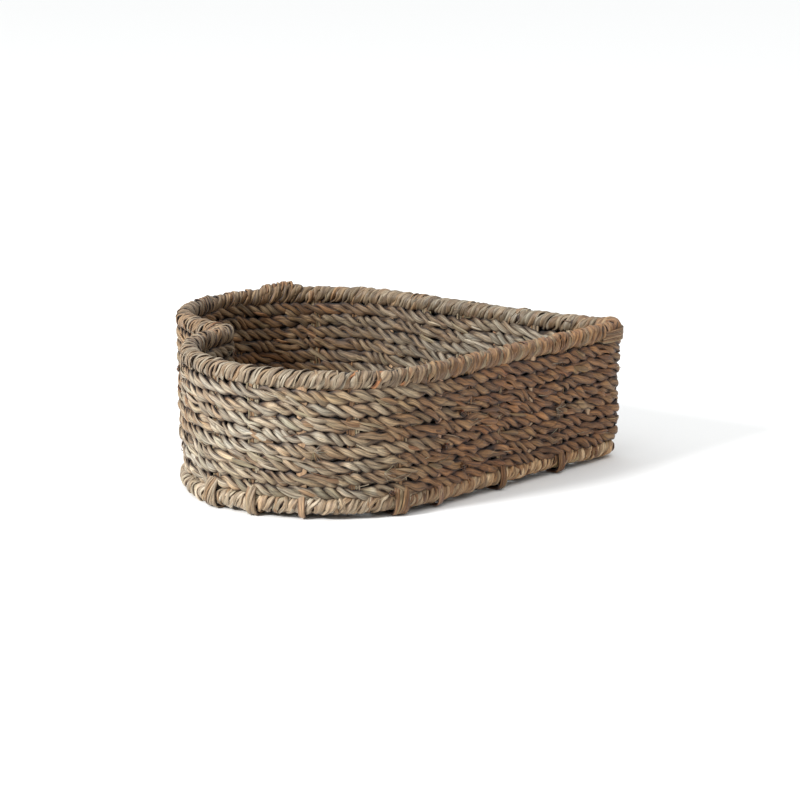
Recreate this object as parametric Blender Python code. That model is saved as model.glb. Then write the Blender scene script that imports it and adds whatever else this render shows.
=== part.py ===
"""Heart-shaped storage basket of twisted seagrass rope, woven round upright stakes.

The frame: metres, +Z up, +X from the notch to the tip, origin under the middle of the
basket's box, on the surface that it stands on. The basket is the same on both sides of
the XZ plane. Lengths below are in millimetres.
"""

import math

import bmesh
import bpy
from mathutils import Vector

MM = 0.001

# The outline in plan is the middle line of the wall, from the notch over one lobe to the tip.
NOTCH_RADIUS = 9.0
NOTCH_TURN = math.radians(36)
NOTCH_SIDE = 17.0
BACK_RADIUS = 83.0
BACK_TURN = math.radians(45)
LOBE_RADIUS = 97.0
LOBE_TURN = math.radians(123)
TIP_RADIUS = 9.0
ARC_STEP = math.radians(15)

HEIGHT = 102.0
BORDER_WIDTH = 12.6
BORDER_HEIGHT = 13.3
BORDER_WRAP = 2.4
BORDER_SLOT = 3.4
BORDER_SHOULDER = 3.6
FOOT_WIDTH = 6.0
WIRE_RADIUS = 1.8
WIRE_CLEARANCE = 0.4

ROWS = 8
ROPE_DEPTH = 5.1
ROPE_GAP = 0.45
ROW_PITCH = (HEIGHT - 2 * BORDER_HEIGHT) / ROWS
SECTION_SIDES = 6

# The wall leans in by this much from the top edge to the foot.
LEAN_IN = 2.0

STAKES_PER_SIDE = 14
STAKE_START = 35.0
STAKE_PITCH = 33.0
STAKE_WIDTH = 6.0
STAKE_THICKNESS = 1.2
STAKE_CLEARANCE = 0.5
STAKE_TUCK = 4.2

BASE_ROPE_WIDTH = 8.4
BASE_ROPE_HEIGHT = 5.4
BASE_PITCH = 9.4
BASE_ROPE_Z = 7.2
BASE_EDGE_GAP = 0.6
TURN_STEPS = 4
BASE_STAKES = 7
BASE_STAKE_WIDTH = 7.0
BASE_STAKE_THICKNESS = 1.8
BASE_STAKE_Z = 3.2
BASE_STAKE_START = 18.0
BASE_STAKE_PITCH = 34.0

ROPE_OFFSET = STAKE_THICKNESS / 2 + STAKE_CLEARANCE + ROPE_DEPTH / 2


def clear_scene():
    for thing in list(bpy.data.objects):
        bpy.data.objects.remove(thing, do_unlink=True)


def new_collection(name, hidden=False):
    group = bpy.data.collections.new(name)
    bpy.context.scene.collection.children.link(group)
    group.hide_render = hidden
    return group


def new_material(name, colour, roughness, metallic=0.0):
    material = bpy.data.materials.new(name)
    material.use_nodes = True
    shader = material.node_tree.nodes["Principled BSDF"]
    shader.inputs["Base Color"].default_value = (*colour, 1.0)
    shader.inputs["Roughness"].default_value = roughness
    shader.inputs["Metallic"].default_value = metallic
    return material


# ---------------------------------------------------------------- outline


def normal_of(heading):
    """The outward direction, on the left of the way along the outline."""
    return Vector((-math.sin(heading), math.cos(heading)))


def along(heading):
    return Vector((math.cos(heading), math.sin(heading)))


def add_arc(run, radius, turn):
    """Adds an arc to a run of (point, heading); a positive turn is to the right."""
    point, heading = run[-1]
    centre = point - math.copysign(radius, turn) * normal_of(heading)
    steps = max(2, round(abs(turn) / ARC_STEP))
    for step in range(1, steps + 1):
        ahead = heading - turn * step / steps
        run.append((centre + math.copysign(radius, turn) * normal_of(ahead), ahead))


def add_straight(run, length):
    point, heading = run[-1]
    run.append((point + length * along(heading), heading))


def half_outline():
    """Points and headings of the middle line on the +Y side, from the notch to the tip."""
    run = [(Vector((0.0, 0.0)), math.pi / 2)]
    add_arc(run, NOTCH_RADIUS, -NOTCH_TURN)
    add_straight(run, NOTCH_SIDE)
    add_arc(run, BACK_RADIUS, BACK_TURN)
    add_arc(run, LOBE_RADIUS, LOBE_TURN)
    point, heading = run[-1]
    tip_turn = heading + math.pi / 2
    tip_rise = TIP_RADIUS * math.cos(heading)
    add_straight(run, (point.y - tip_rise) / -math.sin(heading))
    add_arc(run, TIP_RADIUS, tip_turn)
    middle = (min(p.x for p, _ in run) + max(p.x for p, _ in run)) / 2
    return [(p - Vector((middle, 0.0)), h) for p, h in run]


HALF = half_outline()


def offset_half(offset):
    return [p + offset * normal_of(h) for p, h in HALF]


def outline(offset):
    """The closed outline, anticlockwise from above, this far outside the middle line."""
    upper = offset_half(offset)
    lower = [Vector((p.x, -p.y)) for p in upper[1:-1]]
    return lower + upper[::-1]


def lean_at(z):
    """How far the wall's middle line stands inside its top edge at this height."""
    return -LEAN_IN * (1 - z / HEIGHT)


# ---------------------------------------------------------------- curves


def poly_curve(name, points, closed, group):
    """A curve object through these points, in millimetres."""
    curve = bpy.data.curves.new(name, "CURVE")
    curve.dimensions = "3D"
    spline = curve.splines.new("POLY")
    spline.points.add(len(points) - 1)
    for knot, point in zip(spline.points, points):
        knot.co = (*(MM * value for value in point), 1.0)
    spline.use_cyclic_u = closed
    thing = bpy.data.objects.new(name, curve)
    group.objects.link(thing)
    return thing


def section(name, points):
    """A closed profile that curves are swept with: x outwards, y up, clockwise."""
    guide = poly_curve(name, [(x, y, 0.0) for x, y in points], True, GUIDES)
    guide.hide_render = True
    guide.display_type = "WIRE"
    return guide


def oval_section(name, width, height):
    angles = [-math.tau * (i + 0.5) / SECTION_SIDES for i in range(SECTION_SIDES)]
    reach = 1 / math.cos(math.pi / SECTION_SIDES)
    return section(name, [(width / 2 * reach * math.cos(a), height / 2 * math.sin(a)) for a in angles])


def border_section(name, foot_width, up):
    """The wrap's section: a shell open on one side, where the stakes come in."""
    half = BORDER_WIDTH / 2
    inner = half - BORDER_WRAP
    slot = BORDER_SLOT / 2
    far = BORDER_HEIGHT - BORDER_WRAP
    right = [
        (foot_width / 2, 0.0),
        (half, BORDER_SHOULDER),
        (half, BORDER_HEIGHT - BORDER_SHOULDER),
        (half - BORDER_WRAP / 2, BORDER_HEIGHT),
        (slot, BORDER_HEIGHT),
        (slot, far),
        (inner, far),
        (inner, BORDER_WRAP),
    ]
    loop = [(-x, y) for x, y in right] + right[::-1]
    if up:
        return section(name, loop)
    return section(name, [(x, -y) for x, y in loop[::-1]])


def sweep(name, points, z, profile, material, closed=True):
    thing = poly_curve(name, [(p.x, p.y, z) for p in points], closed, BASKET)
    thing.data.bevel_mode = "OBJECT"
    thing.data.bevel_object = profile
    thing.data.use_fill_caps = not closed
    thing.data.materials.append(material)
    return thing


# ---------------------------------------------------------------- pieces


def box_mesh(name, size, material):
    mesh = bpy.data.meshes.new(name)
    shape = bmesh.new()
    bmesh.ops.create_cube(shape, size=1.0)
    bmesh.ops.scale(shape, vec=Vector(size) * MM, verts=shape.verts)
    shape.to_mesh(mesh)
    shape.free()
    mesh.materials.append(material)
    return mesh


def place(name, mesh, location, rotation=(0.0, 0.0, 0.0)):
    thing = bpy.data.objects.new(name, mesh)
    thing.location = Vector(location) * MM
    thing.rotation_euler = rotation
    BASKET.objects.link(thing)
    return thing


def make_borders():
    wrap = new_material("border_wrap", (0.42, 0.33, 0.22), 0.75)
    metal = new_material("rim_wire", (0.12, 0.11, 0.10), 0.5, 1.0)
    foot = border_section("bottom_border_section", FOOT_WIDTH, up=True)
    cap = border_section("top_border_section", FOOT_WIDTH, up=False)
    sweep("bottom_border", outline(lean_at(0.0)), 0.0, foot, wrap)
    sweep("top_border", outline(0.0), HEIGHT, cap, wrap)
    wire = oval_section("wire_section", 2 * WIRE_RADIUS, 2 * WIRE_RADIUS)
    depth = BORDER_WRAP + WIRE_CLEARANCE + WIRE_RADIUS
    sweep("bottom_rim_wire", outline(lean_at(0.0)), depth, wire, metal)
    sweep("top_rim_wire", outline(0.0), HEIGHT - depth, wire, metal)


def make_rows():
    grass = new_material("seagrass_rope", (0.36, 0.28, 0.18), 0.8)
    profile = oval_section("rope_section", ROPE_DEPTH, ROW_PITCH - ROPE_GAP)
    for row in range(ROWS):
        z = BORDER_HEIGHT + ROW_PITCH * (row + 0.5)
        for face, side in (("outer", 1), ("inner", -1)):
            points = outline(lean_at(z) + side * ROPE_OFFSET)
            sweep(f"{face}_rope_{row + 1}", points, z, profile, grass)


def spot_on_half(distance):
    """The point of the half outline this far along it, and the heading of its stretch."""
    points = [p for p, _ in HALF]
    for start, end in zip(points, points[1:]):
        stretch = end - start
        if distance <= stretch.length:
            return start + stretch * distance / stretch.length, math.atan2(stretch.y, stretch.x)
        distance -= stretch.length
    return points[-1], -math.pi / 2


def make_stakes():
    cane = new_material("stake", (0.45, 0.36, 0.24), 0.7)
    low = BORDER_HEIGHT - STAKE_TUCK
    length = HEIGHT - 2 * low
    mesh = box_mesh("stake", (STAKE_THICKNESS, STAKE_WIDTH, length), cane)
    lean = math.atan2(LEAN_IN, HEIGHT)
    for number in range(STAKES_PER_SIDE):
        spot, heading = spot_on_half(STAKE_START + STAKE_PITCH * number)
        spot = spot + lean_at(HEIGHT / 2) * normal_of(heading)
        for side, sign in (("left", 1), ("right", -1)):
            place(
                f"stake_{side}_{number + 1}",
                mesh,
                (spot.x, sign * spot.y, HEIGHT / 2),
                (0.0, lean, sign * (heading + math.pi / 2)),
            )


# ---------------------------------------------------------------- base


def base_edge():
    """The half outline that the base's ropes stay inside."""
    inside = BORDER_WIDTH / 2 + BASE_EDGE_GAP
    return offset_half(lean_at(0.0) - inside)


def span_at(y, edge):
    """The lowest and highest x of the edge at this y."""
    found = []
    for a, b in zip(edge, edge[1:]):
        if (a.y - y) * (b.y - y) <= 0 and a.y != b.y:
            found.append(a.x + (b.x - a.x) * (y - a.y) / (b.y - a.y))
    return min(found), max(found)


def turn_centre(y, edge, way):
    """The x of a turn's centre: way is 1 at the tip's end and -1 at the notch's end."""
    reach = BASE_PITCH / 2 + BASE_ROPE_WIDTH / 2
    limits = []
    for step in range(2 * TURN_STEPS + 1):
        angle = math.pi * (step / (2 * TURN_STEPS) - 0.5)
        limit = span_at(y + reach * math.sin(angle), edge)[way > 0]
        limits.append(way * limit - reach * math.cos(angle))
    return way * min(limits)


def plain_end(y, edge, way):
    """The x where a pass ends in a cut, inside the edge."""
    half = BASE_ROPE_WIDTH / 2
    return way * min(way * span_at(y + shift, edge)[way > 0] for shift in (-half, 0.0, half))


def serpentine(edge):
    """One rope back and forth from the middle plane outwards, turning round at the ends."""
    top = max(p.y for p in edge) - BASE_ROPE_WIDTH / 2 - BASE_EDGE_GAP
    passes = int(top / BASE_PITCH + 0.5)
    radius = BASE_PITCH / 2
    route = [Vector((plain_end(radius, edge, -1), radius))]
    for number in range(passes):
        y = BASE_PITCH * (number + 0.5)
        way = 1 if number % 2 == 0 else -1
        if number + 1 == passes:
            route.append(Vector((plain_end(y, edge, way), y)))
            break
        centre = Vector((turn_centre(y + radius, edge, way), y + radius))
        for step in range(TURN_STEPS + 1):
            angle = math.pi * (step / TURN_STEPS - 0.5)
            route.append(centre + radius * Vector((way * math.cos(angle), math.sin(angle))))
    return route


def width_at(x, edge):
    """How far the edge stands from the middle plane at this x."""
    found = []
    for a, b in zip(edge, edge[1:]):
        if (a.x - x) * (b.x - x) <= 0 and a.x != b.x:
            found.append(a.y + (b.y - a.y) * (x - a.x) / (b.x - a.x))
    return max(found)


def make_base():
    grass = new_material("base_rope", (0.33, 0.26, 0.17), 0.8)
    cane = new_material("base_stake", (0.45, 0.36, 0.24), 0.7)
    profile = oval_section("base_rope_section", BASE_ROPE_WIDTH, BASE_ROPE_HEIGHT)
    edge = base_edge()
    route = serpentine(edge)
    mirrored = [Vector((p.x, -p.y)) for p in route]
    sweep("base_rope_left", route, BASE_ROPE_Z, profile, grass, closed=False)
    sweep("base_rope_right", mirrored, BASE_ROPE_Z, profile, grass, closed=False)
    notch_x = edge[0].x
    for number in range(BASE_STAKES):
        x = notch_x + BASE_STAKE_START + BASE_STAKE_PITCH * number
        half = BASE_STAKE_WIDTH / 2
        length = 2 * min(width_at(x + shift, edge) for shift in (-half, half))
        mesh = box_mesh("base_stake", (BASE_STAKE_WIDTH, length, BASE_STAKE_THICKNESS), cane)
        place(f"base_stake_{number + 1}", mesh, (x, 0.0, BASE_STAKE_Z))


clear_scene()
BASKET = new_collection("seagrass_basket")
GUIDES = new_collection("guides", hidden=True)
make_borders()
make_rows()
make_stakes()
make_base()
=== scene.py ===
"""The looks of the heart-shaped seagrass basket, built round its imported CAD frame.

Lengths are in millimetres until a mesh is made. The line s runs along the middle of the
wall, anticlockwise from above: from the notch over the right lobe (at -Y) to the tip and
back over the left lobe.
"""

import math

import bpy
import numpy as np
from mathutils import Matrix, Vector


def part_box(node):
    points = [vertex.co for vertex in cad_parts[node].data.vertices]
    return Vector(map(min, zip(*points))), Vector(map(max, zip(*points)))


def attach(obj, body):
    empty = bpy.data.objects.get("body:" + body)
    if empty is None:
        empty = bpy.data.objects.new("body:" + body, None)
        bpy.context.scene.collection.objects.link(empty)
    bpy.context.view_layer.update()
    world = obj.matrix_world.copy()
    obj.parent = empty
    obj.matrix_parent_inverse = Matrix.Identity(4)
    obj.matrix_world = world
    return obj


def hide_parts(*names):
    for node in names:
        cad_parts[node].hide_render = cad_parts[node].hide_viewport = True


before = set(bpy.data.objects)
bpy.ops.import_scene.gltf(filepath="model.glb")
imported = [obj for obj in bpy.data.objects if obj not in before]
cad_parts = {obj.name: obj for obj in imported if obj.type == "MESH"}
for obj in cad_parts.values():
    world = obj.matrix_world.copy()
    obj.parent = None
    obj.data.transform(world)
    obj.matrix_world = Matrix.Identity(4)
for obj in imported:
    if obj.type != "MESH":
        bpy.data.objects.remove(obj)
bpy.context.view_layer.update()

MM = 0.001

# The wall's outline, as in the CAD model.
NOTCH_RADIUS = 9.0
NOTCH_TURN = math.radians(36)
NOTCH_SIDE = 17.0
BACK_RADIUS = 83.0
BACK_TURN = math.radians(45)
LOBE_RADIUS = 97.0
LOBE_TURN = math.radians(123)
TIP_RADIUS = 9.0
LEAN_IN = 2.0
ROPE_OFFSET = 3.65
ROWS = 8
STAKES_PER_SIDE = 14
STAKE_START = 35.0
STAKE_PITCH = 33.0

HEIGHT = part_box("top_border")[1].z / MM

SKY_HORIZON = 0.2
SKY_OVERHEAD = 2.1

# Colours of dried seagrass, as sRGB bytes.
PALE = (185, 179, 163)
STRAW = (168, 154, 133)
TAN = (158, 120, 82)
OLIVE = (140, 132, 104)
BROWN = (126, 87, 54)
RUST = (170, 106, 60)
UMBER = (88, 60, 39)
CANE = (190, 156, 120)
PINK_CANE = (168, 128, 98)
# How fast red, green and blue fade in the dark between strands.
SHADOW_TINT = np.array((0.85, 1.05, 1.22))
PALETTE = (PALE, STRAW, TAN, OLIVE, BROWN, RUST, UMBER)
# The shares of the palette in the palest and in the brownest grass.
COOL_MIX = (0.44, 0.30, 0.08, 0.12, 0.04, 0.02, 0.00)
WARM_MIX = (0.00, 0.04, 0.44, 0.08, 0.36, 0.04, 0.04)
# How much of red, green and blue the brownest grass keeps.
WARM_SHIFT = np.array((0.91, 0.73, 0.48))

# How the leaves of a strand differ in light, how many keep more of a colour of their own, and
# how narrow and how long their ends are.
LEAF_LIGHT_SPREAD = 0.17
ODD_LEAVES = 0.07
ODD_LEAF_EVENNESS = 0.4
LEAF_END_TAPER = 0.6
LEAF_END_LENGTH = 3.0

# What changes along the line, as (place, value) knots with straight runs between them.
# How brown and dark the grass is made: 0 is pale and grey, 1 is brown. It is browner where the wall lies in
# shade and paler where the light falls on it, partly the grass's own tone and partly painted shade.
WARMTH_AND_PAINTED_SHADE = (
    (0, 0.35), (120, 0.08), (210, 0.20), (250, 0.40), (290, 0.90), (370, 1.00),
    (480, 1.00), (540, 0.00), (690, 0.25), (790, 0.70), (900, 0.45),
)
# The length of rope in which a ply goes once round.
PITCH = ((0, 28), (240, 28), (300, 36), (490, 36), (530, 31))
# How much higher or further out the borders are than in the CAD model.
TOP_RISE = (
    (0, 0.0), (165, 0.0), (200, -0.4), (265, -1.5), (330, -0.4), (400, 0.0), (440, 0.2), (480, 0.8),
    (500, 1.8), (530, 0.0), (600, -0.8), (660, -0.2), (700, -0.2), (850, -1.6), (950, -0.4),
)
FOOT_RISE = (
    (0, 0.0), (70, -0.3), (130, -0.6), (165, 1.2), (200, 1.3), (265, 2.3), (330, 1.8), (400, 2.2),
    (440, 2.6), (480, 0.4), (530, 0.4), (600, 0.0),
)
FOOT_OUT = (
    (0, 0.0), (70, 1.6), (130, 2.8), (165, 1.8), (200, 1.0), (265, 0.0), (330, 0.0), (400, -0.6),
    (440, -1.0), (480, -0.8), (500, -2.0), (530, -1.2), (600, 0.0),
)
# How light the wall and the borders are made by place: painted light that makes up for how the lamps fall on
# them, and on the foot's border partly also its own paler tone.
WALL_PAINTED_LIGHT = (
    (0, 1.0), (70, 1.0), (130, 0.96), (165, 0.94), (200, 0.96), (265, 1.0), (500, 1.0), (530, 1.05),
    (600, 1.0), (660, 0.86), (700, 0.82), (850, 0.95), (950, 1.0),
)
TOP_PAINTED_LIGHT = (
    (0, 0.9), (70, 0.88), (130, 0.86), (165, 0.86), (200, 0.88), (265, 0.92), (330, 0.95), (400, 1.12),
    (440, 1.2), (480, 1.2), (500, 1.1), (530, 0.86), (600, 0.82), (660, 0.7), (700, 0.7), (850, 0.8),
    (950, 0.9),
)
FOOT_TONE_AND_PAINTED_LIGHT = (
    (0, 1.3), (70, 1.45), (130, 1.6), (165, 1.5), (200, 1.2), (265, 1.1), (330, 1.6), (400, 1.8),
    (440, 1.95), (480, 2.1), (500, 2.1), (530, 1.6), (600, 1.2), (950, 1.2),
)


# ---------------------------------------------------------------- the line and noise


def linear(colour):
    value = np.asarray(colour, float) / 255
    return np.where(value <= 0.04045, value / 12.92, ((value + 0.055) / 1.055) ** 2.4)


PALETTE_LINEAR = np.array([linear(c) for c in PALETTE])
# A dark tint, painted shade, for the cores of the borders and the filling inside the wall.
PAINTED_SHADE_TINT = linear(UMBER) * 0.5


def half_line():
    """Points and outward normals on the left half, from the notch to the tip."""
    points, headings = [np.zeros(2)], [math.pi / 2]

    def outward(heading):
        return np.stack([-np.sin(heading), np.cos(heading)], axis=-1)

    def arc(radius, turn):
        bend = math.copysign(radius, turn)
        centre = points[-1] - bend * outward(headings[-1])
        steps = max(4, math.ceil(radius * abs(turn)))
        for ahead in headings[-1] - turn * np.arange(1, steps + 1) / steps:
            points.append(centre + bend * outward(ahead))
            headings.append(ahead)

    def straight(length):
        start, heading = points[-1], headings[-1]
        way = np.array([math.cos(heading), math.sin(heading)])
        for reach in np.linspace(0, length, math.ceil(length) + 1)[1:]:
            points.append(start + reach * way)
            headings.append(heading)

    arc(NOTCH_RADIUS, -NOTCH_TURN)
    straight(NOTCH_SIDE)
    arc(BACK_RADIUS, BACK_TURN)
    arc(LOBE_RADIUS, LOBE_TURN)
    heading = headings[-1]
    straight((points[-1][1] - TIP_RADIUS * math.cos(heading)) / -math.sin(heading))
    arc(TIP_RADIUS, heading + math.pi / 2)
    points = np.array(points)
    points[:, 0] -= (points[:, 0].min() + points[:, 0].max()) / 2
    return points, outward(np.array(headings))


def whole_line():
    points, normals = half_line()
    mirror = np.array([1, -1])
    points = np.concatenate([points * mirror, points[::-1][1:]])
    normals = np.concatenate([normals * mirror, normals[::-1][1:]])
    reach = np.hypot(*np.diff(points, axis=0).T)
    return np.concatenate([[0], np.cumsum(reach)]), points, normals


LINE_S, LINE_XY, LINE_N = whole_line()
LENGTH = LINE_S[-1]
NEAR_STAKES = STAKE_START + STAKE_PITCH * np.arange(STAKES_PER_SIDE)
STAKE_S = np.concatenate([NEAR_STAKES, LENGTH - NEAR_STAKES[::-1]])


def line_at(s):
    """The line's point and outward normal at s."""
    t = np.mod(s, LENGTH)
    xy = np.stack([np.interp(t, LINE_S, LINE_XY[:, k]) for k in (0, 1)], axis=-1)
    normal = np.stack([np.interp(t, LINE_S, LINE_N[:, k]) for k in (0, 1)], axis=-1)
    return xy, normal / np.linalg.norm(normal, axis=-1, keepdims=True)


def wall_point(s, out, z):
    """The point this far outside the wall's leaning middle, at height z."""
    xy, normal = line_at(s)
    flat = xy + normal * (out - LEAN_IN * (1 - z / HEIGHT))[..., None]
    return np.concatenate([flat, np.broadcast_to(z, flat.shape[:-1])[..., None]], axis=-1)


def waves(rng, s, scale, length=None, count=6):
    """Smooth noise of about unit size along s, closed over the length."""
    length = length or LENGTH
    total = np.zeros(np.shape(s))
    for _ in range(count):
        turns = max(1, round(length / scale * rng.uniform(0.6, 1.5)))
        total = total + rng.normal() * np.sin(math.tau * (turns * s / length + rng.uniform()))
    return total / math.sqrt(count / 2)


def stake_pull(s, strength, reach):
    """How hard each place is pressed by the stake next to it, from 0 to about 1."""
    gap = np.abs(s[:, None] - STAKE_S[None, :])
    gap = np.minimum(gap, LENGTH - gap)
    return (strength[None, :] * np.exp(-((gap / reach) ** 2))).sum(axis=1)


def along(s, knots):
    """The value at s on the straight runs between the knots, closed round the heart."""
    places, values = np.array(knots, float).T
    return np.interp(np.mod(s, LENGTH), places, values, period=LENGTH)


def warmth(s):
    return along(s, WARMTH_AND_PAINTED_SHADE)


def grass_colours(rng, warm):
    """A palette colour for each value of warmth, each a little off its palette entry."""
    warm = np.asarray(warm, float)
    mix = np.cumsum(np.outer(1 - warm, COOL_MIX) + np.outer(warm, WARM_MIX), axis=1)
    pick = (rng.uniform(size=(len(warm), 1)) > mix / mix[:, -1:]).sum(axis=1)
    colour = PALETTE_LINEAR[np.minimum(pick, len(PALETTE) - 1)] * WARM_SHIFT ** warm[:, None]
    return colour * np.exp(rng.normal(0, 0.10, (len(warm), 1)) + rng.normal(0, 0.02, (len(warm), 3)))


def leaf_runs(rng, s, warm, spacing, evenness):
    """Colours and widths along a strand whose leaves end in a point about every spacing.

    Evenness is how far each leaf's colour is drawn to the average one.
    """
    cuts = np.sort(rng.uniform(s[0], s[-1], max(1, round((s[-1] - s[0]) / spacing))))
    leaf = np.searchsorted(cuts, s)
    starts = np.searchsorted(s, np.concatenate([[s[0]], cuts]))
    shades = grass_colours(rng, warm[np.minimum(starts, len(s) - 1)])[leaf]
    light = np.exp(rng.normal(0, LEAF_LIGHT_SPREAD, len(cuts) + 1))[leaf]
    odd = rng.uniform(size=len(cuts) + 1) < ODD_LEAVES
    plain = np.where(odd, ODD_LEAF_EVENNESS * evenness, evenness)[leaf]
    nearest = np.abs(s[:, None] - cuts[None, :]).min(axis=1)
    tint = blend(shades, mean_colour(warm), plain[:, None]) * light[:, None]
    return tint, 1 - LEAF_END_TAPER * np.exp(-((nearest / LEAF_END_LENGTH) ** 2))


def mean_colour(warm):
    """The average grass colour for each value of warmth."""
    warm = np.asarray(warm, float)
    mix = np.outer(1 - warm, COOL_MIX) + np.outer(warm, WARM_MIX)
    return mix / mix.sum(axis=1, keepdims=True) @ PALETTE_LINEAR * WARM_SHIFT ** warm[:, None]


def blend(first, second, share):
    return first ** (1 - share) * second**share


def shaded(tint, shade):
    """Tints darkened by shade, more brown the darker they get."""
    return tint * shade[..., None] ** SHADOW_TINT


def ease(value, low, high):
    """0 below low, 1 above high and a smooth step between."""
    t = np.clip((value - low) / (high - low), 0, 1)
    return t * t * (3 - 2 * t)


# ---------------------------------------------------------------- meshes


class Web:
    """Many closed tubes gathered into one mesh, with each point's tint and grain."""

    def __init__(self):
        self.points, self.loops, self.sizes, self.tints, self.grains = [], [], [], [], []
        self.count = 0

    def add(self, rings, tint, grain, closed):
        """rings is (tubes, n, m, 3); a tube that isn't closed along gets flat caps."""
        tubes, n, m = rings.shape[:3]
        base = self.count + n * m * np.arange(tubes)[:, None, None]
        last = n if closed else n - 1
        i = np.arange(last)[None, :, None] * m
        after = (np.arange(1, last + 1) % n)[None, :, None] * m
        j = np.arange(m)[None, None, :]
        beside = (j + 1) % m
        quads = np.stack([base + i + j, base + after + j, base + after + beside, base + i + beside], axis=-1)
        self.loops.append(quads.reshape(-1))
        self.sizes.append(np.full(quads.size // 4, 4))
        if not closed:
            start = base[:, 0] + np.arange(m)[::-1]
            end = base[:, 0] + (n - 1) * m + np.arange(m)
            self.loops.append(np.concatenate([start, end], axis=1).reshape(-1))
            self.sizes.append(np.full(2 * tubes, m))
        self.points.append(rings.reshape(-1, 3))
        self.tints.append(np.broadcast_to(tint, rings.shape).reshape(-1, 3))
        self.grains.append(np.broadcast_to(grain, rings.shape).reshape(-1, 3))
        self.count += tubes * n * m

    def build(self, name, material, nodes=()):
        loops, sizes = np.concatenate(self.loops), np.concatenate(self.sizes)
        mesh = bpy.data.meshes.new(name)
        mesh.vertices.add(self.count)
        mesh.vertices.foreach_set("co", (np.concatenate(self.points) * MM).astype(np.float32).ravel())
        mesh.loops.add(len(loops))
        mesh.loops.foreach_set("vertex_index", loops.astype(np.int32))
        mesh.polygons.add(len(sizes))
        starts = np.concatenate([[0], np.cumsum(sizes)[:-1]])
        mesh.polygons.foreach_set("loop_start", starts.astype(np.int32))
        mesh.polygons.foreach_set("loop_total", sizes.astype(np.int32))
        mesh.polygons.foreach_set("use_smooth", np.ones(len(sizes), bool))
        # The tint holds each point's colour with its painted shade and highlights.
        tint = mesh.attributes.new("tint", "FLOAT_COLOR", "POINT")
        colour = np.concatenate([np.concatenate(self.tints), np.ones((self.count, 1))], axis=1)
        tint.data.foreach_set("color", colour.astype(np.float32).ravel())
        grain = mesh.attributes.new("grain", "FLOAT_VECTOR", "POINT")
        grain.data.foreach_set("vector", np.concatenate(self.grains).astype(np.float32).ravel())
        mesh.update(calc_edges=True)
        mesh.validate()
        mesh.materials.append(material)
        thing = bpy.data.objects.new(name, mesh)
        bpy.context.scene.collection.objects.link(thing)
        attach(thing, "root")
        if nodes:
            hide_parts(*nodes)
        return thing


def unit(vectors):
    return vectors / np.linalg.norm(vectors, axis=-1, keepdims=True)


# ---------------------------------------------------------------- materials


def grass_material(name, fibre_depth, roughness, fibre_contrast, dimming):
    """Seagrass: a tint per strand, fine fibres along it, blotches across it; dimming below 1 darkens it all.
    """
    material = bpy.data.materials.new(name)
    material.use_nodes = True
    tree = material.node_tree
    nodes, links = tree.nodes, tree.links
    shader = nodes["Principled BSDF"]
    shader.inputs["Specular IOR Level"].default_value = 0.5
    shader.inputs["Sheen Weight"].default_value = 0.08
    shader.inputs["Sheen Roughness"].default_value = 0.4

    def node(kind, **settings):
        made = nodes.new(kind)
        for key, value in settings.items():
            setattr(made, key, value)
        return made

    tint = node("ShaderNodeAttribute", attribute_name="tint")
    grain = node("ShaderNodeAttribute", attribute_name="grain")

    def noise(scale, detail, rough):
        stretch = node("ShaderNodeVectorMath", operation="MULTIPLY")
        stretch.inputs[1].default_value = scale
        links.new(grain.outputs["Vector"], stretch.inputs[0])
        made = node("ShaderNodeTexNoise")
        made.inputs["Scale"].default_value = 1.0
        made.inputs["Detail"].default_value = detail
        made.inputs["Roughness"].default_value = rough
        links.new(stretch.outputs[0], made.inputs["Vector"])
        return made.outputs["Fac"]

    def spread(value, low, high, to_low, to_high):
        made = node("ShaderNodeMapRange")
        for key, number in zip(("From Min", "From Max", "To Min", "To Max"), (low, high, to_low, to_high)):
            made.inputs[key].default_value = number
        links.new(value, made.inputs["Value"])
        return made.outputs["Result"]

    def mixed(kind, factor, first, second):
        made = node("ShaderNodeMix", data_type="RGBA", blend_type=kind)
        for socket, value in ((made.inputs[0], factor), (made.inputs[6], first), (made.inputs[7], second)):
            if isinstance(value, (float, tuple)):
                socket.default_value = value
            else:
                links.new(value, socket)
        return made.outputs[2]

    fibres = noise((0.07, 1.15, 1.15), 4.0, 0.7)
    blotches = noise((0.05, 0.25, 0.25), 4.0, 0.6)
    specks = noise((0.35, 1.6, 1.6), 2.0, 0.5)
    lines = spread(fibres, 0.38, 0.62, 1 - fibre_contrast, 1 + 0.6 * fibre_contrast)
    striped = mixed("MULTIPLY", 1.0, tint.outputs["Color"], lines)
    brown = mixed("MULTIPLY", 1.0, striped, (0.74, 0.62, 0.50, 1.0))
    weathered = mixed("MIX", spread(blotches, 0.50, 0.70, 0.0, 0.8), striped, brown)
    spotted = mixed("MULTIPLY", spread(specks, 0.62, 0.74, 0.0, 0.6), weathered, (0.42, 0.33, 0.25, 1.0))
    links.new(mixed("MULTIPLY", 1.0, spotted, (dimming, dimming, dimming, 1.0)), shader.inputs["Base Color"])
    links.new(spread(fibres, 0.25, 0.75, roughness + 0.14, roughness - 0.12), shader.inputs["Roughness"])
    bump = node("ShaderNodeBump")
    bump.inputs["Strength"].default_value = 0.55
    bump.inputs["Distance"].default_value = fibre_depth * MM
    links.new(fibres, bump.inputs["Height"])
    links.new(bump.outputs["Normal"], shader.inputs["Normal"])
    return material


ROPE = grass_material("seagrass rope", fibre_depth=0.8, roughness=0.55, fibre_contrast=0.55, dimming=0.86)
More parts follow.
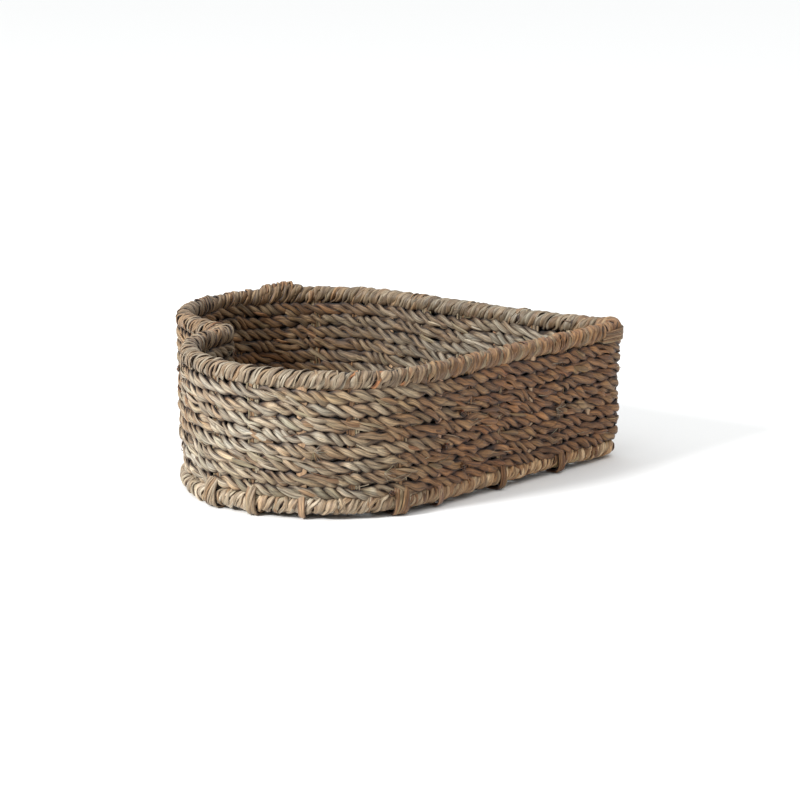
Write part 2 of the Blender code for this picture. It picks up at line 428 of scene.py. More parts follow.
# The inner face's rope is dimmed more: painted shade for the inside of the basket.
INNER_ROPE_WITH_PAINTED_SHADE = grass_material(
    "seagrass rope with painted shade", fibre_depth=0.8, roughness=0.62, fibre_contrast=0.55, dimming=0.74
)
WRAP = grass_material("seagrass wrap", fibre_depth=0.8, roughness=0.52, fibre_contrast=0.5, dimming=0.86)
CANE_SKIN = grass_material("cane", fibre_depth=0.2, roughness=0.45, fibre_contrast=0.2, dimming=1.0)


# ---------------------------------------------------------------- ropes

PLIES = 3
STRANDS = 3
ROPE_STEP = 1.9
# Across one strand of a ply: where its points lie, how far out and how light they are, as painted shade at
# the creases between strands and a painted highlight just past each crease.
STRAND_PLACES = (0.0, 0.13, 0.38, 0.66, 0.88)
STRAND_RADII = (0.91, 0.99, 1.03, 1.02, 0.98)
STRAND_PAINTED_LIGHT = (0.52, 1.10, 1.02, 0.98, 0.88)
# Painted shade: how dark a ply's tint is made deep in the rope and where it turns away.
DEEP_LIGHT = 0.08
TURNED_LIGHT = 0.03


def add_rope(web, rng, s, centre, side, up, depth, height, warm, squeeze, facing, closed, length):
    """A flattened rope of plies, each of a few strands laid close; depth and height are half sizes.

    The plies' tints carry painted shade where no light reaches them: behind, for a rope that faces
    along side (1) or against it (-1), and in the middle for one that faces both ways up (0).
    """
    wander = 0.42 * waves(rng, s, 55.0, length) + 0.3 * waves(rng, s, 150.0, length)
    winding = np.cumsum(1 / along(s, PITCH))
    winding = winding * round(winding[-1] * (s[1] - s[0])) / winding[-1]
    places, radii, light = np.array(STRAND_PLACES), np.array(STRAND_RADII), np.array(STRAND_PAINTED_LIGHT)
    for ply in range(PLIES):
        # Where the ply is round the rope: how far to the front, and how far up.
        phase = math.tau * (ply / PLIES - winding) + wander
        front, stacked = np.cos(phase), np.sin(phase)
        climb = 0.3 * stacked + 0.7 * np.arcsin(0.98 * stacked) * 2 / math.pi
        fat = 1 + 0.13 * waves(rng, s, 18.0, length)
        out = 0.40 * depth * front + 0.12 * waves(rng, s, 16.0, length)
        rise = 0.54 * height * squeeze * climb + 0.25 * waves(rng, s, 16.0, length)
        half_out = fat * depth * (0.48 * front**2 + 0.45 * stacked**2)
        half_up = fat * height * squeeze * (0.47 * front**2 + 0.42 * stacked**2)
        own_turns = rng.choice([-1, 1]) * max(1, round(length / 90)) / length
        leaf, _ = leaf_runs(rng, s, warm, 24.0, 0.66)
        angles, sizes, tints = [], [], []
        edges = [k + 0.16 * waves(rng, s, 30.0, length) for k in range(STRANDS)]
        edges.append(edges[0] + STRANDS)
        for strand in range(STRANDS):
            tint, taper = leaf_runs(rng, s, warm, 60.0, 0.86)
            proud = (1 + 0.06 * waves(rng, s, 24.0, length)) * (0.8 + 0.2 * taper)
            width = (edges[strand + 1] - edges[strand])[:, None]
            turned = math.tau * (s * own_turns)[:, None]
            angles.append(turned + math.tau / STRANDS * (edges[strand][:, None] + width * places))
            sizes.append(radii * np.where(places > 0, proud[:, None], 1.0))
            tints.append(blend(leaf, tint, 0.4)[:, None] * light[None, :, None])
        angle, size = np.concatenate(angles, axis=1), np.concatenate(sizes, axis=1)
        tint = np.concatenate(tints, axis=1)
        # Painted light: the wall's tint is lightened or darkened by place.
        if facing:
            tint = tint * along(s, WALL_PAINTED_LIGHT)[:, None, None]
        across = out[:, None] + half_out[:, None] * size * np.cos(angle)
        upward = rise[:, None] + half_up[:, None] * size * np.sin(angle)
        rings = centre[:, None] + side[:, None] * across[..., None] + up[:, None] * upward[..., None]
        # Painted shade: the tint is darkened where the ply lies deep in the rope and where it turns away.
        lit = facing * across / depth if facing else 1.4 * np.abs(upward) / height
        toward = facing * np.cos(angle) if facing else np.abs(np.sin(angle))
        shade = DEEP_LIGHT + 0.97 * ease(lit, 0.05, 0.80)
        shade = shade * (TURNED_LIGHT + 1.04 * ease(toward, 0.28, 0.88))
        grain = np.empty(rings.shape)
        grain[..., 0] = s[:, None]
        grain[..., 1] = 3.2 * np.cos(angle) + rng.uniform(0, 500)
        grain[..., 2] = 3.2 * np.sin(angle)
        web.add(rings[None], shaded(tint, shade)[None], grain[None], closed)


# Half sizes of a course's rope, and how much of its height a stake can pinch off.
WALL_ROPE_DEPTH = 3.5
WALL_ROPE_HEIGHT = 6.4
PINCH = 0.40
# How hard the courses are pinched at each stake, and how far along.
STAKE_GRIP = np.random.default_rng(3).uniform(0.1, 0.9, len(STAKE_S))
STAKE_GRIP[:STAKES_PER_SIDE] = (0.5, 0.5, 0.6, 0.8, 1.2, 0.8, 0.8, 0.3, 0.4, 0.1, 0.5, 0.4, 1.1, 0.4)
GRIP_REACH = 5.0
# The courses share this seed for a sway that they all have.
SWAY_SEED = 5
# Where the lowest courses ride up and leave a dark hole above the foot's border.
HOLE_S = 150.0
HOLE_REACH = 13.0
HOLE_RISE = 2.6


def make_wall_rope(face, row):
    """One course of rope on one face of the wall, round the whole heart."""
    node = f"{face}_rope_{row}"
    rng = np.random.default_rng(100 * row + (face == "outer"))
    low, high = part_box(node)
    sign = 1 if face == "outer" else -1
    steps = round(LENGTH / ROPE_STEP)
    s = LENGTH * np.arange(steps) / steps
    grip = np.clip(STAKE_GRIP + rng.normal(0, 0.15, len(STAKE_S)) - 0.06 * row, 0, 1)
    pull = stake_pull(s, grip, GRIP_REACH)
    z = (low.z + high.z) / 2 / MM + 0.8 * waves(np.random.default_rng(SWAY_SEED), s, 110.0)
    z = z + 0.3 * waves(rng, s, 110.0) + 0.3 * waves(rng, s, 35.0)
    if face == "outer":
        z = z + HOLE_RISE * np.exp(-(((s - HOLE_S) / HOLE_REACH) ** 2)) * max(0.0, 1.5 - 0.5 * row)
    out = sign * (ROPE_OFFSET + 0.5 * pull) + 0.3 * waves(rng, s, 50.0)
    centre = wall_point(s, out, z)
    _, normal = line_at(s)
    side = np.concatenate([normal, np.zeros((len(s), 1))], axis=1)
    up = np.broadcast_to([0.0, 0.0, 1.0], side.shape)
    web = Web()
    warm = np.clip(warmth(s) + 0.12 * waves(rng, s, 160.0), 0, 1)
    add_rope(
        web, rng, s, centre, side, up, WALL_ROPE_DEPTH, WALL_ROPE_HEIGHT, warm,
        squeeze=1 - PINCH * pull, facing=sign, closed=True, length=LENGTH,
    )
    web.build(f"wall_{node}", ROPE if sign > 0 else INNER_ROPE_WITH_PAINTED_SHADE, [node])


# The dark filler inside the wall, painted shade: its radius, and how much thinner it gets in places.
FILLING_RADIUS = 1.7
FILLING_THINNING = 0.85
FILLING_STEPS = 360


def make_wall_filling():
    """A dark filler between the two faces, painted shade, so that little light comes through."""
    rng = np.random.default_rng(17)
    web = Web()
    s = LENGTH * np.arange(FILLING_STEPS) / FILLING_STEPS
    first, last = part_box("outer_rope_1")[0].z / MM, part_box(f"outer_rope_{ROWS}")[1].z / MM
    for z in np.linspace(first, last, ROWS + 1):
        radius = FILLING_RADIUS * (1 - FILLING_THINNING * ease(waves(rng, s, 16.0), 0.9, 1.2))
        place = wall_point(s, 0.2 * waves(rng, s, 30.0), z + 0.5 * waves(rng, s, 40.0))
        add_strand(web, rng, place, wall_normal(s), radius, radius, PAINTED_SHADE_TINT, closed=True, sides=6)
    web.build("wall_filling", ROPE)


# ---------------------------------------------------------------- strands

GROOVE_DEPTH = 0.12
# A painted highlight: the light rim along one edge of a strand.
EDGE_HIGHLIGHT = 0.25
EDGE_ANGLE = 0.8
EDGE_SPREAD = 0.25


def add_strand(
    web, rng, centre, outward, half_width, half_thick, tint, closed=False, sides=10, twist=0.0, tilt=0.0
):
    """A flat strand along centre, its flat face turned outward, with three faint grooves.

    Twist turns the grooves, in radians a millimetre, and tilt leans the flat face over.
    """
    count = len(centre)
    if closed:
        ahead = unit(np.roll(centre, -1, axis=0) - np.roll(centre, 1, axis=0))
    else:
        ahead = unit(np.gradient(centre, axis=0))
    side = unit(np.cross(ahead, np.broadcast_to(outward, centre.shape)))
    up = np.cross(side, ahead)
    lean = np.broadcast_to(tilt, count)[:, None]
    side, up = side * np.cos(lean) + up * np.sin(lean), up * np.cos(lean) - side * np.sin(lean)
    along = np.concatenate([[0], np.cumsum(np.linalg.norm(np.diff(centre, axis=0), axis=1))])
    angle = math.tau * np.arange(sides) / sides
    groove = np.cos(3 * angle[None, :] + twist * along[:, None] + rng.uniform(0, math.tau))
    body = 1 + GROOVE_DEPTH * groove
    wide = np.broadcast_to(half_width, count)[:, None] * np.cos(angle) * body
    thick = np.broadcast_to(half_thick, count)[:, None] * np.sin(angle) * body
    rings = centre[:, None] + side[:, None] * wide[..., None] + up[:, None] * thick[..., None]
    # Painted shade darkens the strand's thin edges and its grooves, and a painted highlight lightens one
    # rim.
    shade = (0.10 + 0.90 * ease(np.sin(angle), -0.1, 0.65)) * (1 + 0.5 * np.minimum(groove, 0))
    shade = shade * (1 + EDGE_HIGHLIGHT * np.exp(-(((angle - EDGE_ANGLE) / EDGE_SPREAD) ** 2)))
    grain = np.empty(rings.shape)
    grain[..., 0] = along[:, None]
    grain[..., 1] = wide + rng.uniform(0, 500)
    grain[..., 2] = thick + 0.03 * twist * along[:, None]
    tints = shaded(np.broadcast_to(tint, centre.shape)[:, None], shade)
    web.add(rings[None], tints[None], grain[None], closed)


def wall_normal(s):
    """The wall's outward normal in space."""
    _, normal = line_at(np.atleast_1d(s))
    return np.concatenate([normal, np.zeros((len(normal), 1))], axis=1)


# ---------------------------------------------------------------- wrapped borders

STEPS_PER_TURN = 22
CORE_STEPS = 420
CORE_SIDES = 12
# Where the top border's wrap ends and starts again, and how far it stands up there.
JOIN_S = 779.0
JOIN_LENGTH = 36.0
JOIN_HEIGHT = 2.4
# How many short strands cross the wound ones, on each border and on the join.
TOP_STRAYS = 70
FOOT_STRAYS = 130
JOIN_STRAYS = 22
# The strands of the band that binds the tip just below the top border.
TIP_BAND_STRANDS = 9


def join_rise(s):
    """How much higher the top border is at s because of its join."""
    past = (np.mod(s, LENGTH) - JOIN_S) / JOIN_LENGTH
    return JOIN_HEIGHT * ease(past, -0.05, 0.0) * (1 - ease(past, 0.25, 1.0))


def around_border(s, angle, z, half_out, half_up, lift, join):
    """A point on the border's rounded section, and the way out of it."""
    c, sn = np.cos(angle), np.sin(angle)
    out = half_out * np.sign(c) * np.abs(c) ** 0.85
    rise = half_up * np.sign(sn) * np.abs(sn) ** 0.85
    way = unit(np.stack([c / half_out, sn / half_up], axis=-1))
    if join:
        higher, wider = join_rise(s) * ease(sn, -0.6, 0.8) + along(s, TOP_RISE), 0.0
    else:
        higher, wider = along(s, FOOT_RISE), along(s, FOOT_OUT)
    place = wall_point(s, out + wider + lift * way[..., 0], z + higher + rise + lift * way[..., 1])
    outward = wall_normal(s) * way[..., :1]
    outward[..., 2] += way[..., 1]
    return place, outward


def make_border(name, node, z, half_out, half_up, strands, advance, width, thickness, rough, seed):
    """Strands side by side, wound round the edge as a screw with several starts.

    Advance is how far one turn gets along the line, and rough how uneven the turns are.
    """
    rng = np.random.default_rng(seed)
    turns = round(LENGTH / advance)
    steps = turns * STEPS_PER_TURN
    t = np.arange(steps) / steps
    line = LENGTH * t
    join = node == "top_border"
    web = Web()
    for strand in range(strands):
        sway = 0.42 * rough * waves(rng, line, 8.0) + 0.3 * rough * waves(rng, line, 40.0)
        s = line + LENGTH / turns * strand / strands + sway
        angle = math.tau * turns * t + 0.1 * rough * waves(rng, line, 25.0)
        lift = 0.34 * rough * waves(rng, line, 10.0) + 0.2 * rough * waves(rng, line, 60.0)
        place, outward = around_border(s, angle, z, half_out, half_up, lift, join)
        base_warmth = 0.12 + 0.65 * warmth(line) if join else 0.06 + 0.5 * warmth(line)
        warm = np.clip(base_warmth + 0.1 * waves(rng, line, 90.0), 0, 1)
        tint, taper = leaf_runs(rng, line, warm, 60.0, 0.84)
        # Painted light by place; on the foot's border partly also its own paler tone.
        tint = tint * along(line, TOP_PAINTED_LIGHT if join else FOOT_TONE_AND_PAINTED_LIGHT)[:, None]
        half_width = width / 2 * taper * np.exp(0.2 * waves(rng, line, 7.0) + 0.1 * waves(rng, line, 30.0))
        half_thick = thickness / 2 * np.exp(0.14 * rough * waves(rng, line, 20.0))
        twist = rng.choice([-1, 1]) * rng.uniform(0.1, 0.35)
        tilt = 0.26 + 0.16 * waves(rng, line, 30.0)
        add_strand(
            web, rng, place, outward, half_width, half_thick, tint,
            closed=True, sides=14, twist=twist, tilt=tilt,
        )
    web.build(name, WRAP, [node])


def add_stray_turns(web, rng, places, z, half_out, half_up, width, thickness, lift, join=False):
    """Short strands that cross the wound ones at slants of their own."""
    t = np.linspace(0, 1, 18)
    for s0 in places:
        slant = rng.normal(-3.5, 3.5)
        start, reach = rng.uniform(-2.0, 0.2), rng.uniform(1.6, 3.4)
        angle = start + reach * t
        rising = lift * np.sin(math.pi * t) ** 0.5 - 0.9
        s = s0 - slant * t + 0.5 * np.sin(math.tau * t)
        place, outward = around_border(s, angle, z, half_out, half_up, rising, join)
        warm = 0.15 + 0.75 * warmth(np.array([s0]))
        tint = blend(grass_colours(rng, warm), mean_colour(warm), 0.6)[0]
        taper = np.sin(math.pi * np.clip(t, 0.08, 0.92)) ** 0.4
        half_width = width / 2 * rng.uniform(0.6, 1.1) * taper
        add_strand(web, rng, place, outward, half_width, thickness / 2 * taper, tint, twist=0.3)


def add_core(web, z, half_out, half_up, join):
    """The bundle of grass and stake ends that the strands are wound round, tinted dark as painted shade."""
    s = LENGTH * np.arange(CORE_STEPS) / CORE_STEPS
    angle = math.tau * np.arange(CORE_SIDES) / CORE_SIDES
    rings = np.stack(
        [around_border(s, np.full(len(s), a), z, half_out, half_up, 0 * s, join)[0] for a in angle], axis=1
    )
    grain = np.stack(np.broadcast_arrays(s[:, None], 4 * np.cos(angle), 4 * np.sin(angle)), axis=-1)
    web.add(rings[None], PAINTED_SHADE_TINT, grain[None], True)


def make_border_fillings():
    """Cores, stray turns, the join on the top border and the bound tip."""
    rng = np.random.default_rng(31)
    web = Web()
    add_core(web, TOP_Z, half_out=4.6, half_up=5.0, join=True)
    add_core(web, FOOT_Z, half_out=4.5, half_up=4.1, join=False)
    web.build("border_cores", ROPE)
    web = Web()
    add_stray_turns(
        web, rng, rng.uniform(0, LENGTH, TOP_STRAYS), TOP_Z, half_out=5.3, half_up=5.7,
        width=2.4, thickness=1.3, lift=1.5, join=True,
    )
    add_stray_turns(
        web, rng, rng.uniform(0, LENGTH, FOOT_STRAYS), FOOT_Z, half_out=5.3, half_up=4.7,
        width=3.2, thickness=1.7, lift=2.2,
    )
    add_stray_turns(
        web, rng, JOIN_S + rng.uniform(1, 26, JOIN_STRAYS), TOP_Z, half_out=5.6, half_up=6.0,
        width=3.4, thickness=2.2, lift=2.6, join=True,
    )
    for number in range(TIP_BAND_STRANDS):
        t = np.linspace(-1, 1, 24)
        s = LENGTH / 2 + rng.uniform(15, 22) * t - 4
        z = TOP_Z - 5.2 + 0.95 * number + 0.4 * t + 0.2 * np.sin(4 * t + number)
        place = wall_point(s, 7.3 - 0.9 * np.abs(t) ** 3, z)
        tint = blend(grass_colours(rng, [0.6]), mean_colour(np.array([0.6])), 0.6)[0]
        add_strand(web, rng, place, wall_normal(s), 0.62, 0.5, tint, sides=7)
    web.build("border_strays", WRAP)


# ---------------------------------------------------------------- stakes and lashings

# Stakes that are smooth cane slats, counted along the line; the others are bundles of grass.
SLATS = {6, 9, 12, 14, 17, 20, 23, 26}


def cane_colour(number):
    return linear(CANE if number % 2 == 0 else PINK_CANE)


def add_stake(web, rng, number):
    s0 = STAKE_S[number - 1]
    z = np.linspace(8.0, HEIGHT - 8.0, 40)
    sway = 0.35 * waves(rng, z, 40.0, 100.0)
    if number in SLATS:
        for face in (-1, 1):
            path = wall_point(s0 + sway, face * 3.1 + 0 * z, z)
            add_strand(web, rng, path, face * wall_normal(s0), 3.5, 1.3, cane_colour(number), sides=12)
        return
    warm = np.full(12, 0.2 + 0.6 * float(warmth(s0)))
    colours = blend(grass_colours(rng, warm), mean_colour(warm), 0.4)
    for strand, colour in enumerate(colours):
        face = 1 if strand % 2 else -1
        shift = (strand // 2 - 2.5) * 1.45
        out = face * (3.5 + rng.normal(0, 0.3)) + 0.2 * waves(rng, z, 20.0, 100.0)
        path = wall_point(s0 + shift + sway + 0.25 * waves(rng, z, 25.0, 100.0), out, z)
        add_strand(web, rng, path, face * wall_normal(s0), rng.uniform(0.75, 1.0), 0.9, colour, sides=7)


# The numbers of the stakes on each half, counted along the line.
HALVES = (
    ("right", range(1, STAKES_PER_SIDE + 1)),
    ("left", range(STAKES_PER_SIDE + 1, 2 * STAKES_PER_SIDE + 1)),
)


def make_stakes():
    for side, numbers in HALVES:
        for kind in ("slat", "grass"):
            web = Web()
            nodes = []
            rng = np.random.default_rng(40 + len(side) + len(kind))
            for number in numbers:
                if (number in SLATS) == (kind == "slat"):
                    add_stake(web, rng, number)
                    from_notch = number if side == "right" else 2 * STAKES_PER_SIDE + 1 - number
                    nodes.append(f"stake_{side}_{from_notch}")
            material = CANE_SKIN if kind == "slat" else ROPE
            web.build(f"stakes_{side}_{kind}", material, nodes)


# Stakes with a lashing that goes over the foot's border, counted along the line.
LASHED = {4, 5, 6, 8, 9, 11, 13, 15, 17, 18, 20, 21, 23, 25, 26, 28}
# The lashings that are thick bundles of strands.
BULKY = {4, 8, 15, 21, 25}
# The way of a lashing round the foot's border: how far outside the wall, and how high.
LASHING_WAY = np.array(
    [(3.5, 20.0), (5.6, 16.8), (7.2, 13.0), (8.0, 8.5), (7.6, 4.2), (5.4, 1.6), (1.5, 1.2)]
    + [(-3.0, 1.3), (-6.2, 2.6), (-7.6, 6.5), (-7.0, 10.8), (-4.6, 14.2)]
)


def smooth_path(knots, count):
    """Points on a Catmull-Rom curve through the knots."""
    knots = np.concatenate([knots[:1] * 2 - knots[1:2], knots, knots[-1:] * 2 - knots[-2:-1]])
    t = np.linspace(0, len(knots) - 3.0001, count)
    i = t.astype(int)
    f = (t - i)[:, None]
    a, b, c, d = knots[i], knots[i + 1], knots[i + 2], knots[i + 3]
    return b + 0.5 * f * (c - a + f * (2 * a - 5 * b + 4 * c - d + f * (3 * (b - c) + d - a)))


def make_lashings():
    """Stake ends and strands that go over the foot's border and under it."""
    way = smooth_path(LASHING_WAY, 44)
    t = np.linspace(0, 1, len(way))
    away = np.gradient(way, axis=0)
    for side, numbers in HALVES:
        web = Web()
        rng = np.random.default_rng(60 + len(side))
        for number in numbers:
            if number not in LASHED:
                continue
            s0 = STAKE_S[number - 1]
            wider = along(s0, FOOT_OUT)
            outward = wall_normal(s0) * -away[:, 1:]
            outward[:, 2] += away[:, 0]
            if number in SLATS:
                path = wall_point(s0 + 1.5 * t, way[:, 0] - 1.0 + wider, way[:, 1] + 0.4)
                colour = cane_colour(number) * 0.9
                add_strand(web, rng, path, outward, 2.8 - 1.2 * t, 0.8, colour, sides=12)
                continue
            count, spread = (9, 4.0) if number in BULKY else (6, 2.2)
            warm = np.full(count, 0.3 + 0.5 * float(warmth(s0)))
            colours = blend(grass_colours(rng, warm), mean_colour(warm), 0.5) * 0.95
            twist = rng.uniform(0.4, 1.1)
            lean = rng.uniform(-3.0, 4.0)
            for strand, colour in enumerate(colours):
                angle = math.tau * (strand / count + twist * t)
                path = wall_point(
                    s0 + spread * np.cos(angle) + lean * (t - 0.3),
                    way[:, 0] * (1 + 0.10 * np.sin(angle)) + wider,
                    way[:, 1] + 0.6 * np.abs(np.sin(angle)),
                )
                add_strand(web, rng, path, outward, rng.uniform(1.2, 1.6), 1.0, colour, sides=9, twist=0.3)
        web.build(f"lashings_{side}", WRAP)


# ---------------------------------------------------------------- base

BASE_PITCH = 9.4
BASE_ROPES_PER_SIDE = 17
BASE_ROPE_DEPTH = 5.3
BASE_ROPE_HEIGHT = 2.8
BASE_CROSS_PITCH = 34.0
BASE_MIDDLE = 6.3
BASE_WEAVE = 1.35
BASE_EDGE = 5.5
# The length that noise on the base repeats in.
BASE_SPAN = 320.0


def inside_span(y, inside):
    """The lowest and highest x on the line y, this far inside the wall's middle."""
    xy = LINE_XY - LINE_N * inside
    a, b = xy[:-1], xy[1:]
    hit = (a[:, 1] - y) * (b[:, 1] - y) <= 0
    x = a[hit, 0] + (b[hit, 0] - a[hit, 0]) * (y - a[hit, 1]) / (b[hit, 1] - a[hit, 1] + 1e-9)
    return x.min(), x.max()


def make_base():
    """Ropes from the notch's side to the tip's side, over and under cross slats."""
    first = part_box("base_stake_1")
    start = (first[0].x + first[1].x) / 2 / MM
    for side, sign in (("left", 1), ("right", -1)):
        web = Web()
        rng = np.random.default_rng(80 + sign)
        for number in range(BASE_ROPES_PER_SIDE):
            y = sign * BASE_PITCH * (number + 0.5)
            low, high = inside_span(y, BASE_EDGE)
            x = np.linspace(low, high, max(8, round((high - low) / 2.4)))
            over = np.cos(math.pi * ((x - start) / BASE_CROSS_PITCH + number))
            z = BASE_MIDDLE + BASE_WEAVE * over + 0.2 * waves(rng, x, 50.0, BASE_SPAN)
            centre = np.stack([x, y + 0.3 * waves(rng, x, 70.0, BASE_SPAN), z], axis=1)
            aside = np.broadcast_to([0.0, -1.0, 0.0], centre.shape)
            up = np.broadcast_to([0.0, 0.0, 1.0], centre.shape)
            warm = np.clip(0.6 + 0.2 * waves(rng, x, 160.0, BASE_SPAN), 0, 1)
            add_rope(
                web, rng, x, centre, aside, up, BASE_ROPE_DEPTH, BASE_ROPE_HEIGHT, warm,
                squeeze=1 + 0 * x, facing=0, closed=False, length=BASE_SPAN,
            )
        web.build(f"base_ropes_{side}", ROPE, [f"base_rope_{side}"])
    web = Web()
    rng = np.random.default_rng(90)
    nodes = [f"base_stake_{n}" for n in range(1, 8)]
    for node in nodes:
        low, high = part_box(node)
        y = np.linspace(low.y / MM - 4, high.y / MM + 4, 60)
        x = (low.x + high.x) / 2 / MM + 0.3 * waves(rng, y, 60.0, BASE_SPAN)
        path = np.stack([x, y, BASE_MIDDLE + 0 * y], axis=1)
        colour = linear(CANE) * rng.uniform(0.8, 1.0)
        add_strand(web, rng, path, np.array([0.0, 0.0, 1.0]), 3.6, 1.0, colour, sides=12)
    web.build("base_slats", CANE_SKIN, nodes)


# ---------------------------------------------------------------- loose ends


LOOSE_LEAVES = 300
STRAY_FIBRES = 300


def make_loose_leaves():
    """Leaves that have left their ply and lie aslant on a course."""
    rng = np.random.default_rng(9)
    web = Web()
    t = np.linspace(0, 1, 14)
    for number in range(LOOSE_LEAVES):
        face = 1 if number % 3 else -1
        s0 = rng.uniform(0, LENGTH)
        length = rng.uniform(13, 24)
        z0 = rng.uniform(17, HEIGHT - 17)
        fall = rng.uniform(2.5, 8.0)
        out = face * (3.7 + rng.uniform(2.6, 3.3) * np.sin(math.pi * t) ** 0.6)
        z = z0 - face * fall * (t - 0.5) + 0.4 * np.sin(math.tau * t + number)
        s = s0 + length * t
        warm = warmth(np.array([s0]))
        colour = blend(grass_colours(rng, warm), mean_colour(warm), 0.5)[0]
        radius = rng.uniform(0.9, 2.3) * np.sin(math.pi * np.clip(t, 0.06, 0.94)) ** 0.8
        path = wall_point(s, out, z)
        tilt = rng.normal(0, 0.2)
        add_strand(web, rng, path, face * wall_normal(s), radius, 0.6, colour, sides=12, tilt=tilt)
    web.build("loose_leaves", ROPE)


# Where rope ends and frayed places show on the outside: along the line, and how high.
CUT_ENDS = (
    (320.0, 63.0), (322.0, 27.0), (303.0, 42.0), (260.0, 15.5), (560.0, 40.0), (640.0, 66.0),
    (720.0, 30.0), (760.0, 72.0), (830.0, 50.0), (905.0, 24.0), (940.0, 60.0),
)
TUFTS = ((208.0, 47.0), (253.0, 31.0), (424.0, 49.0), (610.0, 28.0), (700.0, 58.0), (880.0, 44.0))

INNER_CUT_ENDS = 6
# The frayed end just below the top border, inside the notch.
NOTCH_END_S = 4.0
NOTCH_END_Z = 84.0


def add_cut_end(web, rng, s0, z0, face):
    """The cut end of a rope, poking out of the wall: seven strands round one in the middle."""
    t = np.linspace(0, 1, 5)
    lean, climb = rng.uniform(-0.8, 0.8), rng.uniform(-0.5, 0.5)
    around = 7
    for strand in range(around + 1):
        angle = math.tau * strand / around
        ring = 0.0 if strand == around else 1.5
        reach = rng.uniform(3.6, 5.2) * t
        path = wall_point(
            s0 + ring * (1 + 0.15 * t) * np.cos(angle) + lean * reach,
            face * (4.4 + reach),
            z0 + ring * (1 + 0.15 * t) * np.sin(angle) + climb * reach,
        )
        colour = grass_colours(rng, [1.0])[0] * 0.75
        add_strand(web, rng, path, np.array([0.0, 0.0, 1.0]), 0.75, 0.75, colour, sides=7)


def add_tuft(web, rng, s0, z0, face):
    """Frayed fibres fanning from one place."""
    t = np.linspace(0, 1, 7)
    for _ in range(16):
        turn, reach = rng.normal(-0.4, 0.7), rng.uniform(5, 9)
        path = wall_point(
            s0 + reach * t * math.cos(turn),
            face * (6.0 + rng.uniform(0.5, 2.4) * np.sin(2.4 * t)),
            z0 + reach * t * math.sin(turn),
        )
        colour = grass_colours(rng, [0.3])[0]
        add_strand(web, rng, path, face * wall_normal(s0), 0.3 * (1 - 0.6 * t), 0.22, colour, sides=5)


def make_loose_ends():
    """Stray fibres, frayed places and the cut ends of ropes, on both faces of the wall."""
    rng = np.random.default_rng(7)
    web = Web()
    t = np.linspace(0, 1, 8)
    for number in range(STRAY_FIBRES):
        s0, z0 = rng.uniform(0, LENGTH), rng.uniform(12, HEIGHT - 4)
        face = 1 if number % 4 else -1
        length = rng.uniform(6, 20)
        s = s0 + length * t * rng.choice([-1, 1])
        out = face * (5.4 + 1.8 * np.sin(math.pi * t) * rng.uniform(0.3, 1.3) + rng.uniform(0, 0.8) * t)
        z = z0 + 0.5 * length * t * rng.normal(0, 0.5) + rng.normal(0, 1.5) * t * t
        colour = grass_colours(rng, [0.35])[0]
        radius = rng.uniform(0.18, 0.36) * (1 - 0.7 * t)
        add_strand(web, rng, wall_point(s, out, z), face * wall_normal(s), radius, radius, colour, sides=5)
    for s0, z0 in CUT_ENDS:
        add_cut_end(web, rng, s0, z0, 1)
    for _ in range(INNER_CUT_ENDS):
        add_cut_end(web, rng, rng.uniform(0, LENGTH), rng.uniform(18, 80), -1)
    for s0, z0 in TUFTS:
        add_tuft(web, rng, s0, z0, 1)
    add_tuft(web, rng, NOTCH_END_S, NOTCH_END_Z, -1)
    web.build("loose_fibres", ROPE)


TOP_Z = HEIGHT - 7.3
FOOT_Z = 7.9
for wall_row in range(1, ROWS + 1):
    make_wall_rope("outer", wall_row)
    make_wall_rope("inner", wall_row)
make_wall_filling()
make_border(
    "top_border_wrap", "top_border", TOP_Z, half_out=5.2, half_up=5.2, strands=6, advance=19.0,
    width=4.2, thickness=2.0, rough=1.0, seed=11,
)
make_border(
    "bottom_border_wrap", "bottom_border", FOOT_Z, half_out=5.3, half_up=4.7, strands=5, advance=19.0,
    width=4.9, thickness=2.9, rough=1.3, seed=21,
)
make_border_fillings()
make_stakes()
make_lashings()
make_base()
make_loose_leaves()
make_loose_ends()


# ---------------------------------------------------------------- stage


def plain_material(name, colour, roughness):
    material = bpy.data.materials.new(name)
    material.use_nodes = True
    shader = material.node_tree.nodes["Principled BSDF"]
    shader.inputs["Base Color"].default_value = (*colour, 1.0)
    shader.inputs["Roughness"].default_value = roughness
    return material


for wire in ("top_rim_wire", "bottom_rim_wire"):
    metal = plain_material(f"{wire} iron", (0.05, 0.045, 0.04), 0.45)
    metal.node_tree.nodes["Principled BSDF"].inputs["Metallic"].default_value = 1.0
    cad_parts[wire].material_slots[0].link = "OBJECT"
    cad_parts[wire].material_slots[0].material = metal


def make_floor():
    bpy.ops.mesh.primitive_plane_add(size=24.0)
    floor = bpy.context.object
    floor.name = "floor"
    floor.data.materials.append(plain_material("pale floor", (0.86, 0.86, 0.85), 0.9))


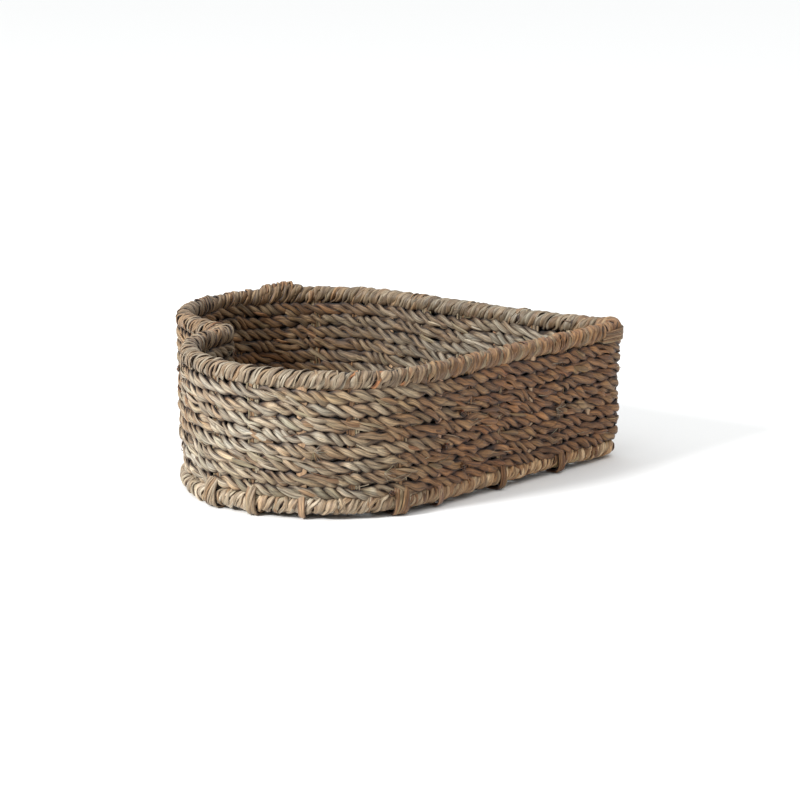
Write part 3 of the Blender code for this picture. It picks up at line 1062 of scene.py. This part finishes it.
def make_light(name, place, aim, size, power, colour):
    lamp = bpy.data.lights.new(name, "AREA")
    lamp.shape = "DISK"
    lamp.size = size
    lamp.energy = power
    lamp.color = colour
    thing = bpy.data.objects.new(name, lamp)
    thing.location = place
    thing.rotation_euler = (Vector(aim) - Vector(place)).to_track_quat("-Z", "Y").to_euler()
    bpy.context.scene.collection.objects.link(thing)


def make_world():
    """A soft sky, bright overhead and dim at the horizon."""
    world = bpy.data.worlds.new("soft daylight")
    world.use_nodes = True
    nodes, links = world.node_tree.nodes, world.node_tree.links
    place = nodes.new("ShaderNodeTexCoord")
    split = nodes.new("ShaderNodeSeparateXYZ")
    square = nodes.new("ShaderNodeMath")
    square.operation = "MULTIPLY"
    strength = nodes.new("ShaderNodeMath")
    strength.operation = "MULTIPLY_ADD"
    strength.inputs[1].default_value = SKY_OVERHEAD - SKY_HORIZON
    strength.inputs[2].default_value = SKY_HORIZON
    links.new(place.outputs["Generated"], split.inputs[0])
    links.new(split.outputs["Z"], square.inputs[0])
    links.new(split.outputs["Z"], square.inputs[1])
    links.new(square.outputs[0], strength.inputs[0])
    background = nodes["Background"]
    background.inputs["Color"].default_value = (0.98, 0.99, 1.0, 1.0)
    links.new(strength.outputs[0], background.inputs["Strength"])
    bpy.context.scene.world = world


def make_camera():
    azimuth, elevation = math.radians(-6.3), math.radians(12.5)
    distance, roll = 1.8, math.radians(0.6)
    target = Vector((-0.0008, 0.0, 0.0442))
    level = math.cos(elevation)
    way = Vector((math.sin(azimuth) * level, -math.cos(azimuth) * level, math.sin(elevation)))
    camera = bpy.data.cameras.new("camera")
    camera.lens = 111.2
    camera.sensor_width = 36.0
    thing = bpy.data.objects.new("camera", camera)
    thing.location = target + distance * way
    turn = (-way).to_track_quat("-Z", "Y").to_matrix().to_4x4()
    thing.rotation_euler = (turn @ Matrix.Rotation(roll, 4, "Z")).to_euler()
    bpy.context.scene.collection.objects.link(thing)
    bpy.context.scene.camera = thing


make_floor()
make_world()
make_light("key", (-1.95, -1.10, 1.35), (0.0, 0.0, 0.05), 0.6, 80.0, (0.97, 0.985, 1.0))
make_camera()
bpy.context.scene.view_settings.view_transform = "Standard"
